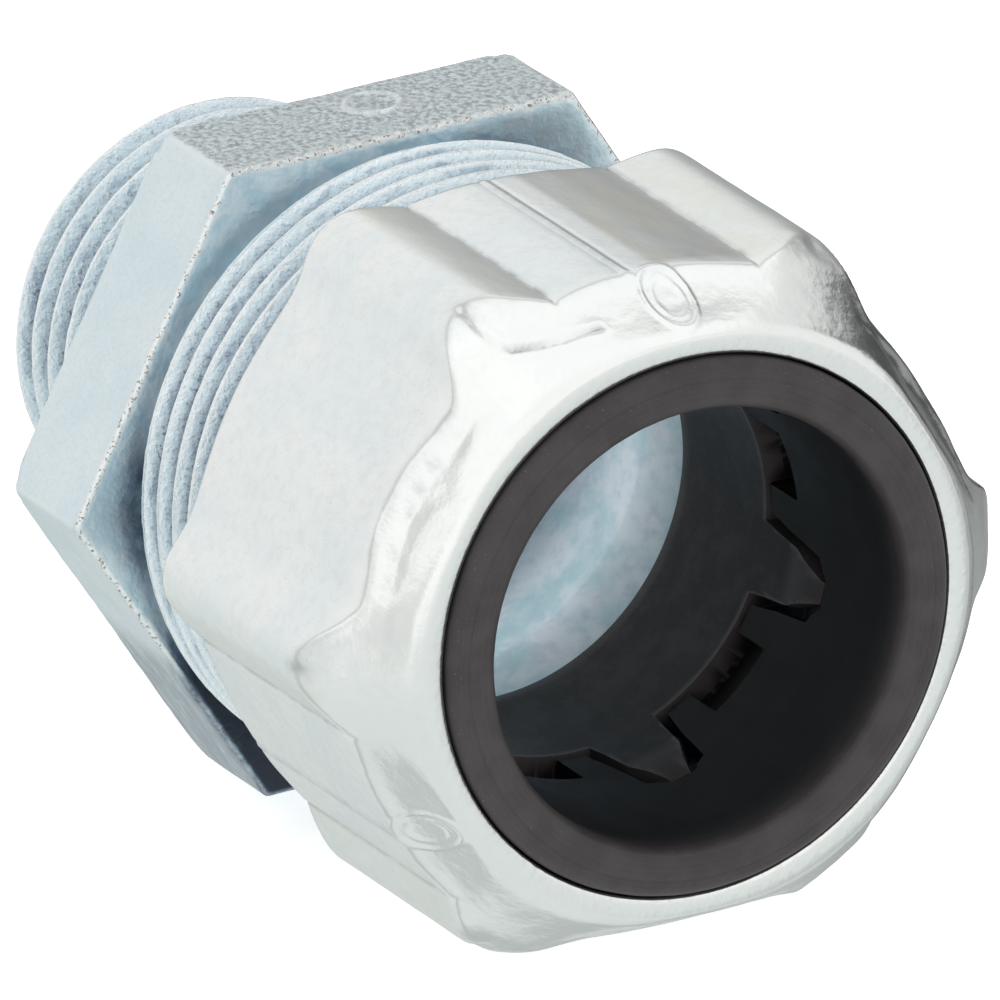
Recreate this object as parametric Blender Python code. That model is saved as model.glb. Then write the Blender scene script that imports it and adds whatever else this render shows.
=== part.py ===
"""Conduit compression fitting: a threaded body with a hexagon, a six-lobed
gland nut, a black sealing ring and a split grip ring.

Frame: +X along the bore axis, from the box end towards the conduit mouth,
+Z up, normal to one flat of the body's hexagon. The origin is on the axis at
mid length. Axial dimensions below are counted from the hexagon's rear
shoulder, the face that seats on the box, and point() moves them by ORIGIN_X.
Constants are in millimetres and degrees; point() scales lengths to metres.
"Front" is the +X side and "rear" the -X side.
"""

import math

import bmesh
import bpy
import numpy as np

MM = 0.001
FACETS = 36              # round threads and the turned faces of body and nut
RING_FACETS = 48         # round the sealing ring and the grip ring

# body hexagon, from X = 0 forwards
HEX_AF = 32.3            # across flats
HEX_CORNER_R = 18.58     # corners just broken
HEX_LEN = 7.0
HEX_CHAMFER = 0.35       # front edge
HEX_REAR_CHAMFER_X = 0.3
HEX_REAR_CHAMFER_R = 0.4

# body box thread, from X = 0 backwards
BOX_LEN = 15.45
BOX_PITCH = 25.4 / 14.0  # 14 threads per inch
BOX_TURNS = 6
BOX_START = -BOX_LEN + 1.3
BOX_CREST_R = 10.85      # at the free end
BOX_TAPER = 1.0 / 32.0   # on radius, 1:16 on diameter
BOX_DEPTH = 1.25
BOX_ROOT_DEPTH = 0.98 * BOX_DEPTH  # the helical root stays just above full depth
BOX_FADE = 0.85 * BOX_DEPTH        # drop of the crest at either end
BOX_RIM_CHAMFER_X = 0.35
BOX_RIM_CHAMFER_R = 0.4
BOX_SHANK_X = -1.35      # plain shank between thread and shoulder
BOX_SHANK_R = 9.8
BOX_FOOT_X = -0.35       # shank starts to flare into the shoulder
BOX_FOOT_R = 10.3

# body gland thread
BODY_END = 25.5          # free end
GLAND_PITCH = 25.4 / 16.0
GLAND_TURNS = 10
GLAND_START = 7.6        # where the thread begins to rise
GLAND_CREST_R = 15.72
GLAND_ROOT_R = 14.85
GLAND_FADE = 0.8         # drop of the crest at either end
GLAND_NECK_R = 14.72     # plain rings at either end of the thread
GLAND_END_R = 14.35
GLAND_END_CHAMFER_X = 0.35

# body bore
THROAT_R = 7.9
STOP_X = 2.0             # conduit end stop
CONDUIT_R = 10.9         # entry bore, 21.3 mm conduit
SEAT_X0 = 9.45           # grip ring seat, small end, opening from the entry bore
SEAT_X1, SEAT_R1 = 14.15, 12.95  # grip ring seat, large end
MOUTH_R = 13.35

# gland nut
NUT_X0 = 16.25
NUT_X1 = 35.0
NUT_MOUTH_R = 13.45
NUT_TURN = -1.5          # how far the nut stands off the body's hexagon
NUT_REAR_CHAMFER = 0.25
NUT_FRONT_BREAK = 0.15   # radial, at the front outer edge
NUT_RELIEF_R = 16.05
NUT_CREST_R = 15.12
NUT_FADE = 0.85          # retreat of the ridge at either end
NUT_THREAD_X0, NUT_THREAD_X1 = 17.0, 27.3
NUT_TURNS = 5
NUT_SHOULDER_X = 31.0
NOSE_CORNER_BLEND = 0.22  # softening between the nose's sides and corners
NOSE_LOBE_BLEND = 0.12    # softening between the nose and the lobes

# Nose, a hexagon shrinking towards the mouth:
# distance behind the front, apothem of its sides, radius of its corners.
NUT_NOSE = [
    (0.0, 14.75, 14.60), (0.35, 14.92, 15.02), (0.8, 15.08, 15.35),
    (1.6, 15.34, 15.95), (2.7, 15.82, 16.72), (4.0, 16.56, 17.68),
    (5.4, 17.16, 18.40), (6.7, 17.62, 18.90), (8.0, 18.2, 19.2)]
# Distances behind the front of the nut's outer loops: the last one before
# the nose, then those along the nose.
NOSE_REAR = 8.05
NOSE_STATIONS = (7.2, 6.4, 5.6, 4.8, 4.0, 3.2, 2.4, 1.6, 0.9, 0.4, 0.12)
# Two of the six lobes: degrees from the middle of a scalloped side, radius.
# Repeats every 120 degrees.
NUT_PROFILE = [
    (-60.0, 17.05), (-50.0, 17.09), (-41.5, 17.32), (-36.2, 18.10),
    (-32.4, 18.74), (-28.2, 18.74), (-19.0, 17.08), (-10.0, 16.81),
    (0.0, 16.77), (9.0, 16.89), (17.7, 17.12), (26.6, 18.62),
    (28.8, 18.80), (32.4, 18.74), (36.2, 18.10), (41.5, 17.32),
    (50.0, 17.09)]

# Tabs and lobes alternate round the sealing ring and the grip ring.
TAB_ANGLE = 13.0         # first tab, then every 60
LOBE_ANGLE = TAB_ANGLE + 30.0

# sealing ring
SEAL_FRONT_X = 35.7
SEAL_BORE_R = 10.85
SEAL_NOSE_R = 13.2
SEAL_FLANGE_R = 15.6
SEAL_FLANGE_X0, SEAL_FLANGE_X1 = 28.1, 30.7
SEAL_FLANGE_CHAMFER = 0.3
SEAL_SLEEVE_R = 12.9
SEAL_SLEEVE_X = 22.3
# Cutter outlines here and below: half angle, X.
SEAL_TAB_POCKET = [(13.2, SEAL_SLEEVE_X - 1.0), (12.0, SEAL_SLEEVE_X + 0.2),
                   (8.4, SEAL_FLANGE_X0 - 0.1)]
SEAL_LOBE_NOTCH = [(10.0, SEAL_SLEEVE_X - 1.0), (10.0, SEAL_SLEEVE_X + 2.7)]
SEAL_NOTCH_DEPTH = 1.1   # outwards from the bore

# grip ring
GRIP_X0 = 13.3
GRIP_SHOULDER_X = 22.0
GRIP_TAB_X = 27.7
GRIP_BORE_R = 10.75
GRIP_OUT_R = 12.45
GRIP_TAB_R = GRIP_OUT_R - 0.7
GRIP_NOSE_R = 11.45
GRIP_CONE_X = 15.7
GRIP_LOBE_POCKET = [(20.2, GRIP_SHOULDER_X), (25.6, GRIP_TAB_X + 0.6)]
SLIT_ANGLE = LOBE_ANGLE
SLIT_WIDTH = 1.6

ORIGIN_X = (SEAL_FRONT_X - BOX_LEN) / 2.0   # mid length, from the shoulder


# ------------------------------------------------------------------- helpers
def clear_scene():
    for obj in list(bpy.data.objects):
        bpy.data.objects.remove(obj, do_unlink=True)


def material(name, rgb, roughness, metallic):
    mat = bpy.data.materials.new(name)
    mat.use_nodes = True
    bsdf = mat.node_tree.nodes["Principled BSDF"]
    bsdf.inputs["Base Color"].default_value = (*rgb, 1.0)
    bsdf.inputs["Roughness"].default_value = roughness
    bsdf.inputs["Metallic"].default_value = metallic
    mat.diffuse_color = (*rgb, 1.0)
    return mat


def point(x, radius, deg):
    """A point in metres; deg runs from +Z towards -Y."""
    angle = math.radians(deg)
    return ((x - ORIGIN_X) * MM,
            -radius * math.sin(angle) * MM,
            radius * math.cos(angle) * MM)


def mesh_object(name, bm):
    """Turns a closed bmesh into a linked object with outward normals."""
    bmesh.ops.recalc_face_normals(bm, faces=bm.faces[:])
    mesh = bpy.data.meshes.new(name)
    bm.to_mesh(mesh)
    bm.free()
    obj = bpy.data.objects.new(name, mesh)
    bpy.context.collection.objects.link(obj)
    return obj


def fade(turns, over=1.0):
    """Falls from 1 at a thread's end to 0 at the given number of turns."""
    return max(0.0, 1.0 - turns / over)


def soft_min(a, b, blend):
    return 0.5 * (a + b - math.sqrt((a - b) ** 2 + blend * blend))


class Shell:
    """A closed skin built from loops, each a list of (vertex, degrees)."""

    def __init__(self):
        self.bm = bmesh.new()

    def face(self, *verts):
        self.bm.faces.new(verts)

    def loop(self, x, radius, angles):
        """A loop at x; radius is a function of the angle."""
        out = [(self.bm.verts.new(point(x, radius(a), a)), a % 360.0) for a in angles]
        out.sort(key=lambda item: item[1])
        return out

    def ring(self, x, radius, facets=FACETS):
        return self.loop(x, lambda a: radius, [360.0 * k / facets for k in range(facets)])

    def rings(self, profile, facets=FACETS):
        """One ring for each (x, radius)."""
        return [self.ring(x, radius, facets) for x, radius in profile]

    def join(self, loop_a, loop_b):
        """Joins two loops: quads if their angles match, else triangles."""
        count_a, count_b = len(loop_a), len(loop_b)
        if count_a == count_b and all(abs(p[1] - q[1]) < 1e-6
                                      for p, q in zip(loop_a, loop_b)):
            for k in range(count_a):
                m = (k + 1) % count_a
                self.face(loop_a[k][0], loop_a[m][0], loop_b[m][0], loop_b[k][0])
            return

        def following(loop, k):
            """The vertex after number k, and its angle counted past 360."""
            vert, angle = loop[(k + 1) % len(loop)]
            return vert, angle + (360.0 if k + 1 >= len(loop) else 0.0)

        i = j = 0
        while i < count_a or j < count_b:
            here_a = loop_a[i % count_a][0]
            here_b = loop_b[j % count_b][0]
            next_a, angle_a = following(loop_a, i)
            next_b, angle_b = following(loop_b, j)
            if j >= count_b or (i < count_a and angle_a <= angle_b):
                self.face(here_a, next_a, here_b)
                i += 1
            else:
                self.face(here_a, next_b, here_b)
                j += 1

    def chain(self, loops):
        for loop_a, loop_b in zip(loops[:-1], loops[1:]):
            self.join(loop_a, loop_b)

    def thread(self, before, x0, turns, pitch, rows, after):
        """A right-hand thread between two plain rings of equal facets.

        rows lists (fraction of the pitch, radius function of x and of the
        turns run since the start and still to go).
        """
        n = len(before)
        m = len(rows)
        count = m * turns
        first = rows[0][0]
        grid = []
        for k in range(count + 1):
            fraction, radius = rows[k % m]
            column = []
            for j in range(n):
                turn = k // m + fraction + j / n
                x = x0 + turn * pitch
                r = radius(x, turn - first, turns + 1.0 + first - turn)
                column.append(self.bm.verts.new(point(x, r, 360.0 * j / n)))
            grid.append(column)
        for k in range(count):
            for j in range(n - 1):
                self.face(grid[k][j], grid[k][j + 1], grid[k + 1][j + 1], grid[k + 1][j])
        # The seam at 0 degrees joins each turn to the next one.
        for k in range(count - m):
            self.face(grid[k][n - 1], grid[k + m][0],
                      grid[k + m + 1][0], grid[k + 1][n - 1])
        # Plain rings close the ends, with one large face at each step of the helix.
        rear = [vert for vert, _ in before]
        front = [vert for vert, _ in after]
        for j in range(n - 1):
            self.face(rear[j], rear[j + 1], grid[0][j + 1], grid[0][j])
            self.face(grid[count][j], grid[count][j + 1], front[j + 1], front[j])
        self.face(rear[n - 1], rear[0], grid[m][0], grid[0][n - 1])
        self.face(rear[0], *[grid[k][0] for k in range(m, -1, -1)])
        self.face(grid[count - m][n - 1], grid[count][0], front[0], front[n - 1])
        self.face(front[n - 1], *[grid[k][n - 1]
                                  for k in range(count, count - m - 1, -1)])

    def finish(self, name, mat, sharp=32.0):
        obj = mesh_object(name, self.bm)
        obj.data.materials.append(mat)
        obj.data.shade_smooth()
        obj.data.set_sharp_from_angle(angle=math.radians(sharp))
        return obj


def turned_ring(name, mat, profile):
    """A ring turned from a closed profile of (x, radius)."""
    shell = Shell()
    loops = shell.rings(profile, RING_FACETS)
    shell.chain(loops + loops[:1])
    return shell.finish(name, mat)


def sector(name, middle, outline, r0, r1, steps):
    """A hidden cutter: an outline swept from radius r0 to r1.

    The outline lists (half angle, x) stations about the middle angle, each
    divided into steps along the arc.
    """
    bm = bmesh.new()
    grids = []
    for r in (r0, r1):
        rows = []
        for half, x in outline:
            start, end = middle - half, middle + half
            rows.append([bm.verts.new(point(x, r, start + (end - start) * s / steps))
                         for s in range(steps + 1)])
        grids.append(rows)
    lo, hi = grids
    last = len(outline) - 1
    for k in range(last):
        for s in range(steps):
            bm.faces.new((lo[k][s], lo[k][s + 1], lo[k + 1][s + 1], lo[k + 1][s]))
            bm.faces.new((hi[k][s], hi[k + 1][s], hi[k + 1][s + 1], hi[k][s + 1]))
        bm.faces.new((lo[k][0], lo[k + 1][0], hi[k + 1][0], hi[k][0]))
        bm.faces.new((lo[k][steps], hi[k][steps], hi[k + 1][steps], lo[k + 1][steps]))
    for s in range(steps):
        bm.faces.new((lo[0][s], hi[0][s], hi[0][s + 1], lo[0][s + 1]))
        bm.faces.new((lo[last][s], lo[last][s + 1], hi[last][s + 1], hi[last][s]))
    obj = mesh_object(name, bm)
    obj.hide_render = True
    obj.display_type = 'WIRE'
    return obj


def cut(target, cutter):
    mod = target.modifiers.new("cut_" + cutter.name, 'BOOLEAN')
    mod.operation = 'DIFFERENCE'
    mod.solver = 'EXACT'
    mod.object = cutter


# ---------------------------------------------------------------------- body
def hexagon_loops(shell):
    """The body's hexagon with turned-down corners, rear to front."""
    apothem = HEX_AF / 2.0
    half = math.degrees(math.acos(apothem / HEX_CORNER_R))
    angles = []
    for k in range(6):
        angles += [60.0 * k - half, 60.0 * k, 60.0 * k + half, 60.0 * k + 30.0]

    def hex_loop(x, inset):
        def radius(deg):
            off = (deg + 30.0) % 60.0 - 30.0
            return min(apothem / math.cos(math.radians(off)), HEX_CORNER_R) - inset
        return shell.loop(x, radius, angles)

    return [hex_loop(0.0, HEX_REAR_CHAMFER_R),
            hex_loop(HEX_REAR_CHAMFER_X, 0.0),
            hex_loop(HEX_LEN - HEX_CHAMFER, 0.0),
            hex_loop(HEX_LEN, HEX_CHAMFER)]


def box_thread(shell, before, after):
    def cone(x):
        return BOX_CREST_R + (x + BOX_LEN) * BOX_TAPER

    def crest(x, run, left):
        return cone(x) - BOX_FADE * (fade(run, over=0.25) + fade(left))

    def root(x, run, left):
        return cone(x) - BOX_ROOT_DEPTH

    rows = [(0.0, root), (0.34, crest), (0.46, crest), (0.80, root)]
    shell.thread(before, BOX_START, BOX_TURNS, BOX_PITCH, rows, after)


def gland_thread(shell, before, after):
    def crest(x, run, left):
        return GLAND_CREST_R - GLAND_FADE * (fade(run, over=0.45) + fade(left, over=0.6))

    def root(x, run, left):
        return GLAND_ROOT_R

    rows = [(0.0, root), (0.27, crest), (0.43, crest), (0.70, root)]
    shell.thread(before, GLAND_START, GLAND_TURNS, GLAND_PITCH, rows, after)


def make_body(mat):
    shell = Shell()
    rim = shell.rings([
        (-BOX_LEN, BOX_CREST_R - BOX_RIM_CHAMFER_R),
        (-BOX_LEN + BOX_RIM_CHAMFER_X, BOX_CREST_R),
        (-BOX_LEN + 0.6, BOX_CREST_R),
        (-BOX_LEN + 1.15, BOX_CREST_R - BOX_DEPTH)])
    shank = shell.rings([(BOX_SHANK_X, BOX_SHANK_R), (BOX_FOOT_X, BOX_SHANK_R),
                         (0.0, BOX_FOOT_R)])
    box_thread(shell, rim[-1], shank[0])
    hexagon = hexagon_loops(shell)
    neck = shell.ring(HEX_LEN, GLAND_NECK_R)
    # from the front end of the gland thread, round the mouth and back down the bore
    bore = shell.rings([
        (BODY_END - GLAND_END_CHAMFER_X, GLAND_NECK_R),
        (BODY_END, GLAND_END_R),
        (BODY_END, MOUTH_R + 0.2),
        (BODY_END - 0.5, MOUTH_R),
        (SEAT_X1 + 0.6, MOUTH_R),
        (SEAT_X1, SEAT_R1),
        (SEAT_X0, CONDUIT_R),
        (STOP_X, CONDUIT_R),
        (STOP_X, THROAT_R + 0.5),
        (STOP_X - 0.5, THROAT_R),
        (-BOX_LEN + 0.6, THROAT_R),
        (-BOX_LEN, THROAT_R + 0.55)])
    gland_thread(shell, neck, bore[0])
    shell.chain(shank + hexagon + [neck])
    shell.chain(bore + rim)
    return shell.finish("body", mat)


# ----------------------------------------------------------------- gland nut
def nut_section():
    """Radius of the six-lobed section at each of its angles, in order."""
    return dict(sorted(((120.0 * k + NUT_TURN + deg) % 360.0, radius)
                       for k in range(3) for deg, radius in NUT_PROFILE))


def nose_radius(behind, deg):
    """Radius of the nut's nose, a hexagon with rounded corners."""
    distances, apothems, corners = zip(*NUT_NOSE)
    apothem = np.interp(behind, distances, apothems)
    corner = np.interp(behind, distances, corners)
    off = (deg - NUT_TURN + 30.0) % 60.0 - 30.0
    return soft_min(apothem / math.cos(math.radians(off)), corner, NOSE_CORNER_BLEND)


def nut_outside(shell):
    """Outer loops of the nut, rear to front."""
    section = nut_section()
    lobes = section.get
    loops = [
        shell.loop(NUT_X0, lambda a: section[a] - NUT_REAR_CHAMFER, section),
        shell.loop(NUT_X0 + NUT_REAR_CHAMFER, lobes, section),
        shell.loop(NUT_X1 - NOSE_REAR, lobes, section)]
    for behind in NOSE_STATIONS:
        loops.append(shell.loop(
            NUT_X1 - behind,
            lambda a: soft_min(section[a], nose_radius(behind, a), NOSE_LOBE_BLEND),
            section))
    loops.append(shell.loop(
        NUT_X1, lambda a: nose_radius(0.0, a) - NUT_FRONT_BREAK, section))
    return loops


def nut_thread(shell, before, after):
    """Internal thread, in phase with the body's gland thread."""
    phase = (GLAND_START - NUT_THREAD_X0) / GLAND_PITCH
    shift = phase - round(phase)

    def valley(x, run, left):
        return NUT_RELIEF_R

    def ridge(x, run, left):
        return NUT_CREST_R + NUT_FADE * (fade(run) + fade(left))

    rows = [(0.237 + shift, valley), (0.463 + shift, valley),
            (0.742 + shift, ridge), (0.958 + shift, ridge)]
    shell.thread(before, NUT_THREAD_X0, NUT_TURNS, GLAND_PITCH, rows, after)


def make_nut(mat):
    shell = Shell()
    outside = nut_outside(shell)
    # from the front edge of the mouth back to the front end of the thread
    mouth = shell.rings([
        (NUT_X1, NUT_MOUTH_R + 0.15),
        (NUT_X1 - 0.2, NUT_MOUTH_R),
        (NUT_SHOULDER_X, NUT_MOUTH_R),
        (NUT_SHOULDER_X, NUT_RELIEF_R),
        (NUT_THREAD_X1, NUT_RELIEF_R + 0.02)])
    rear = shell.rings([(NUT_THREAD_X0 - 0.2, NUT_RELIEF_R + 0.06),
                        (NUT_X0, NUT_RELIEF_R + 0.2)])
    nut_thread(shell, rear[0], mouth[-1])
    shell.chain(outside + mouth)
    shell.chain(rear + outside[:1])
    return shell.finish("gland_nut", mat, sharp=24.0)


# -------------------------------------------------------------- sealing ring
def make_seal(mat):
    seal = turned_ring("seal_ring", mat, [
        (SEAL_SLEEVE_X, SEAL_BORE_R),
        (SEAL_SLEEVE_X, SEAL_SLEEVE_R),
        (SEAL_FLANGE_X0, SEAL_SLEEVE_R),
        (SEAL_FLANGE_X0, SEAL_FLANGE_R - SEAL_FLANGE_CHAMFER),
        (SEAL_FLANGE_X0 + SEAL_FLANGE_CHAMFER, SEAL_FLANGE_R),
        (SEAL_FLANGE_X1 - SEAL_FLANGE_CHAMFER, SEAL_FLANGE_R),
        (SEAL_FLANGE_X1, SEAL_FLANGE_R - SEAL_FLANGE_CHAMFER),
        (SEAL_FLANGE_X1, SEAL_NOSE_R),
        # rounded front edge
        (SEAL_FRONT_X - 0.85, SEAL_NOSE_R),
        (SEAL_FRONT_X - 0.4, SEAL_NOSE_R - 0.15),
        (SEAL_FRONT_X - 0.1, SEAL_NOSE_R - 0.45),
        (SEAL_FRONT_X, SEAL_NOSE_R - 0.9),
        (SEAL_FRONT_X - 0.05, SEAL_BORE_R + 0.35),
        (SEAL_FRONT_X - 0.3, SEAL_BORE_R)])
    for k in range(6):
        cut(seal, sector("tab_pocket_%d" % k, TAB_ANGLE + 60.0 * k, SEAL_TAB_POCKET,
                         SEAL_BORE_R - 1.5, SEAL_SLEEVE_R + 1.0, steps=4))
        cut(seal, sector("lobe_notch_%d" % k, LOBE_ANGLE + 60.0 * k, SEAL_LOBE_NOTCH,
                         SEAL_BORE_R - 1.5, SEAL_BORE_R + SEAL_NOTCH_DEPTH, steps=4))
    return seal


# ----------------------------------------------------------------- grip ring
def make_grip(mat):
    grip = turned_ring("grip_ring", mat, [
        (GRIP_X0, GRIP_BORE_R + 0.15),
        (GRIP_X0, GRIP_NOSE_R),
        (GRIP_CONE_X, GRIP_OUT_R),
        (GRIP_SHOULDER_X, GRIP_OUT_R),
        (GRIP_SHOULDER_X, GRIP_TAB_R),
        (GRIP_TAB_X, GRIP_TAB_R),
        (GRIP_TAB_X, GRIP_BORE_R + 0.2),
        (GRIP_X0 + 0.3, GRIP_BORE_R)])
    # The pockets between the lobes' edges leave six tabs standing.
    for k in range(6):
        cut(grip, sector("lobe_pocket_%d" % k, LOBE_ANGLE + 60.0 * k, GRIP_LOBE_POCKET,
                         GRIP_BORE_R - 1.5, GRIP_OUT_R + 1.5, steps=6))
    half = math.degrees(SLIT_WIDTH / 2.0 / GRIP_OUT_R)
    cut(grip, sector("slit", SLIT_ANGLE, [(half, GRIP_X0 - 1.0), (half, GRIP_TAB_X + 1.0)],
                     GRIP_BORE_R - 1.2, GRIP_OUT_R + 1.2, steps=1))
    return grip


def main():
    clear_scene()
    make_body(material("zinc_plated_steel", rgb=(0.60, 0.66, 0.69),
                       roughness=0.34, metallic=1.0))
    make_nut(material("bright_zinc", rgb=(0.80, 0.81, 0.79),
                      roughness=0.24, metallic=1.0))
    make_seal(material("black_elastomer", rgb=(0.035, 0.031, 0.031),
                       roughness=0.55, metallic=0.0))
    make_grip(material("black_oxide_steel", rgb=(0.055, 0.053, 0.056),
                       roughness=0.48, metallic=0.35))


main()
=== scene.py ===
"""Looks of a conduit compression fitting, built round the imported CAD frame.

The axis lies along X: the box thread points to the rear (-X) and the gland nut
to the front (+X), with the hexagon between them. Profiles are in millimetres,
with X counted from the hexagon's rear face. Angles are in degrees from the top
(+Z) towards -Y.
"""

import functools
import itertools
import math

import bmesh
import bpy
import numpy as np
from mathutils import Matrix, Vector


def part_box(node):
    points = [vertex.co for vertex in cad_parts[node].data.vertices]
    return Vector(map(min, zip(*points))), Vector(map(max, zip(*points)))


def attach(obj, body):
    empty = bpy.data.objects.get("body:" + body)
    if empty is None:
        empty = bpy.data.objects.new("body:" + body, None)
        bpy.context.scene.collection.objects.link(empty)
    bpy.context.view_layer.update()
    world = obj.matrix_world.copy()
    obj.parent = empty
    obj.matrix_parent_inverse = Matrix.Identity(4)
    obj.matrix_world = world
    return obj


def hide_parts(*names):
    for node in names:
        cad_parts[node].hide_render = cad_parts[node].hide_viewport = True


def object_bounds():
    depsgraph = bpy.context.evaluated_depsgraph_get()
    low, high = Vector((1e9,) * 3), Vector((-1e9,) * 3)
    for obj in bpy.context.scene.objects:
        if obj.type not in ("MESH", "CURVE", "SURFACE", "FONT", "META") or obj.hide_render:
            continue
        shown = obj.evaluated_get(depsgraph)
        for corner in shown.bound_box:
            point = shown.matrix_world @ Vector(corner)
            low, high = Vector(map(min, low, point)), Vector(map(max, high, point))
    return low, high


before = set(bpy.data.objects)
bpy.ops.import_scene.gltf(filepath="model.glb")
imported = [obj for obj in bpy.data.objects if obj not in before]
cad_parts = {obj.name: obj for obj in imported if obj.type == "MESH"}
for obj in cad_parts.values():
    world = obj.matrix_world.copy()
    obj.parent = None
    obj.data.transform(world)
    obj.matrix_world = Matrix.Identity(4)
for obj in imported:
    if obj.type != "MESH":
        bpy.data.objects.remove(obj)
cad_lo, cad_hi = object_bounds()

# ------------------------------------------------------------ key dimensions
MM = 0.001
BOX_LEN = 15.45                               # from the rear end to the hexagon
ORIGIN_X = -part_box("body")[0].x / MM - BOX_LEN
BODY_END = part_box("body")[1].x / MM + ORIGIN_X
SEAL_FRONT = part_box("seal_ring")[1].x / MM + ORIGIN_X
NUT_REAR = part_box("gland_nut")[0].x / MM + ORIGIN_X
NUT_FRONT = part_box("gland_nut")[1].x / MM + ORIGIN_X

HEX_LEN = 7.0
HEX_FLAT = 16.15                              # axis to flat
HEX_CORNER = 18.6                             # axis to rounded corner
PAD_X, PAD_Y, PAD_R = 2.75, 0.65, 1.35        # blank round pad on the top flat

# a thread's start is the X of a crest at 60 degrees
BOX_START, BOX_PITCH = -9.12, 25.4 / 14.0
GLAND_START, GLAND_PITCH = 8.40, 25.4 / 16.0

LOBE0 = 28.5                                  # first lobe of the nut
RIDGED0 = LOBE0 - 30.0                        # middle of its first ridged side
TAB0 = 13.0                                   # middle of the seal's first pocket

NO_MASK = (0, 0, 0, 0)


# ------------------------------------------------------------------ numerics
def smooth(start, end, x):
    t = np.clip((x - start) / (end - start), 0.0, 1.0)
    return t * t * (3.0 - 2.0 * t)


def bell(offset, width):
    return np.exp(-(offset / width) ** 2)


def wrap(angle, span):
    """The angle brought into a span centred on zero."""
    return (angle + span / 2) % span - span / 2


def from_top(angle):
    return np.abs(wrap(angle, 360.0))


def soft_min(first, second, blend):
    return 0.5 * (first + second - np.sqrt((first - second) ** 2 + blend * blend))


def monotone_cubic(points):
    """Monotone cubic through (x, y) points, as a function."""
    xs, ys = np.array(points, float).T
    gap = np.diff(xs)
    rise = np.diff(ys) / gap
    slope = np.zeros(len(xs))
    slope[0], slope[-1] = rise[0], rise[-1]
    for i in range(1, len(xs) - 1):
        if rise[i - 1] * rise[i] > 0:
            before, after = 2 * gap[i] + gap[i - 1], gap[i] + 2 * gap[i - 1]
            slope[i] = (before + after) / (before / rise[i - 1] + after / rise[i])

    def curve(x):
        x = np.clip(np.asarray(x, float), xs[0], xs[-1])
        i = np.clip(np.searchsorted(xs, x, side="right") - 1, 0, len(xs) - 2)
        t = (x - xs[i]) / gap[i]
        return ((2 * t ** 3 - 3 * t ** 2 + 1) * ys[i]
                + (t ** 3 - 2 * t ** 2 + t) * gap[i] * slope[i]
                + (-2 * t ** 3 + 3 * t ** 2) * ys[i + 1]
                + (t ** 3 - t ** 2) * gap[i] * slope[i + 1])
    return curve


@functools.cache
def lattice(seed):
    return np.random.RandomState(seed).rand(32, 32, 32)


def noise3(point, size, seed):
    """Value noise in -1..1; size is the feature size in millimetres."""
    grid = lattice(seed)
    place = [point[..., i] / size + 101.3 for i in range(3)]
    cell = [np.floor(c).astype(int) for c in place]
    part = [c - k for c, k in zip(place, cell)]
    part = [c * c * (3 - 2 * c) for c in part]
    total = 0.0
    for corner in itertools.product((0, 1), repeat=3):
        weight = [c if step else 1 - c for c, step in zip(part, corner)]
        value = grid[tuple((k + step) % 32 for k, step in zip(cell, corner))]
        total = total + weight[0] * weight[1] * weight[2] * value
    return total * 2.0 - 1.0


def polar(x, radius, angle):
    """Frame coordinates, in millimetres, of a point on a profile."""
    turn = np.radians(angle)
    return np.stack([x - ORIGIN_X, -radius * np.sin(turn), radius * np.cos(turn)], -1)


def helix_x(angle, start, pitch):
    """X of a thread's crest at an angle."""
    return start + (angle - 60.0) / 360.0 * pitch


def crest_distance(x, angle, start, pitch, shift=0.5):
    """0 on a thread's crest to 1 midway between crests; a shift of 0 swaps them."""
    turns = (x - helix_x(angle, start, pitch)) / pitch
    return np.abs((turns + shift) % 1.0 - 0.5) * 2.0


# -------------------------------------------------------------- mesh building
def add_object(name, data):
    obj = bpy.data.objects.new(name, data)
    bpy.context.scene.collection.objects.link(obj)
    return obj


def finish_mesh(mesh, sharp, merge=None):
    """Normals outward, smooth shading, and edges over sharp degrees kept sharp."""
    edit = bmesh.new()
    edit.from_mesh(mesh)
    if merge:
        bmesh.ops.remove_doubles(edit, verts=edit.verts[:], dist=merge)
    bmesh.ops.recalc_face_normals(edit, faces=edit.faces[:])
    edit.to_mesh(mesh)
    edit.free()
    mesh.shade_smooth()
    mesh.set_sharp_from_angle(angle=math.radians(sharp))


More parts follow.
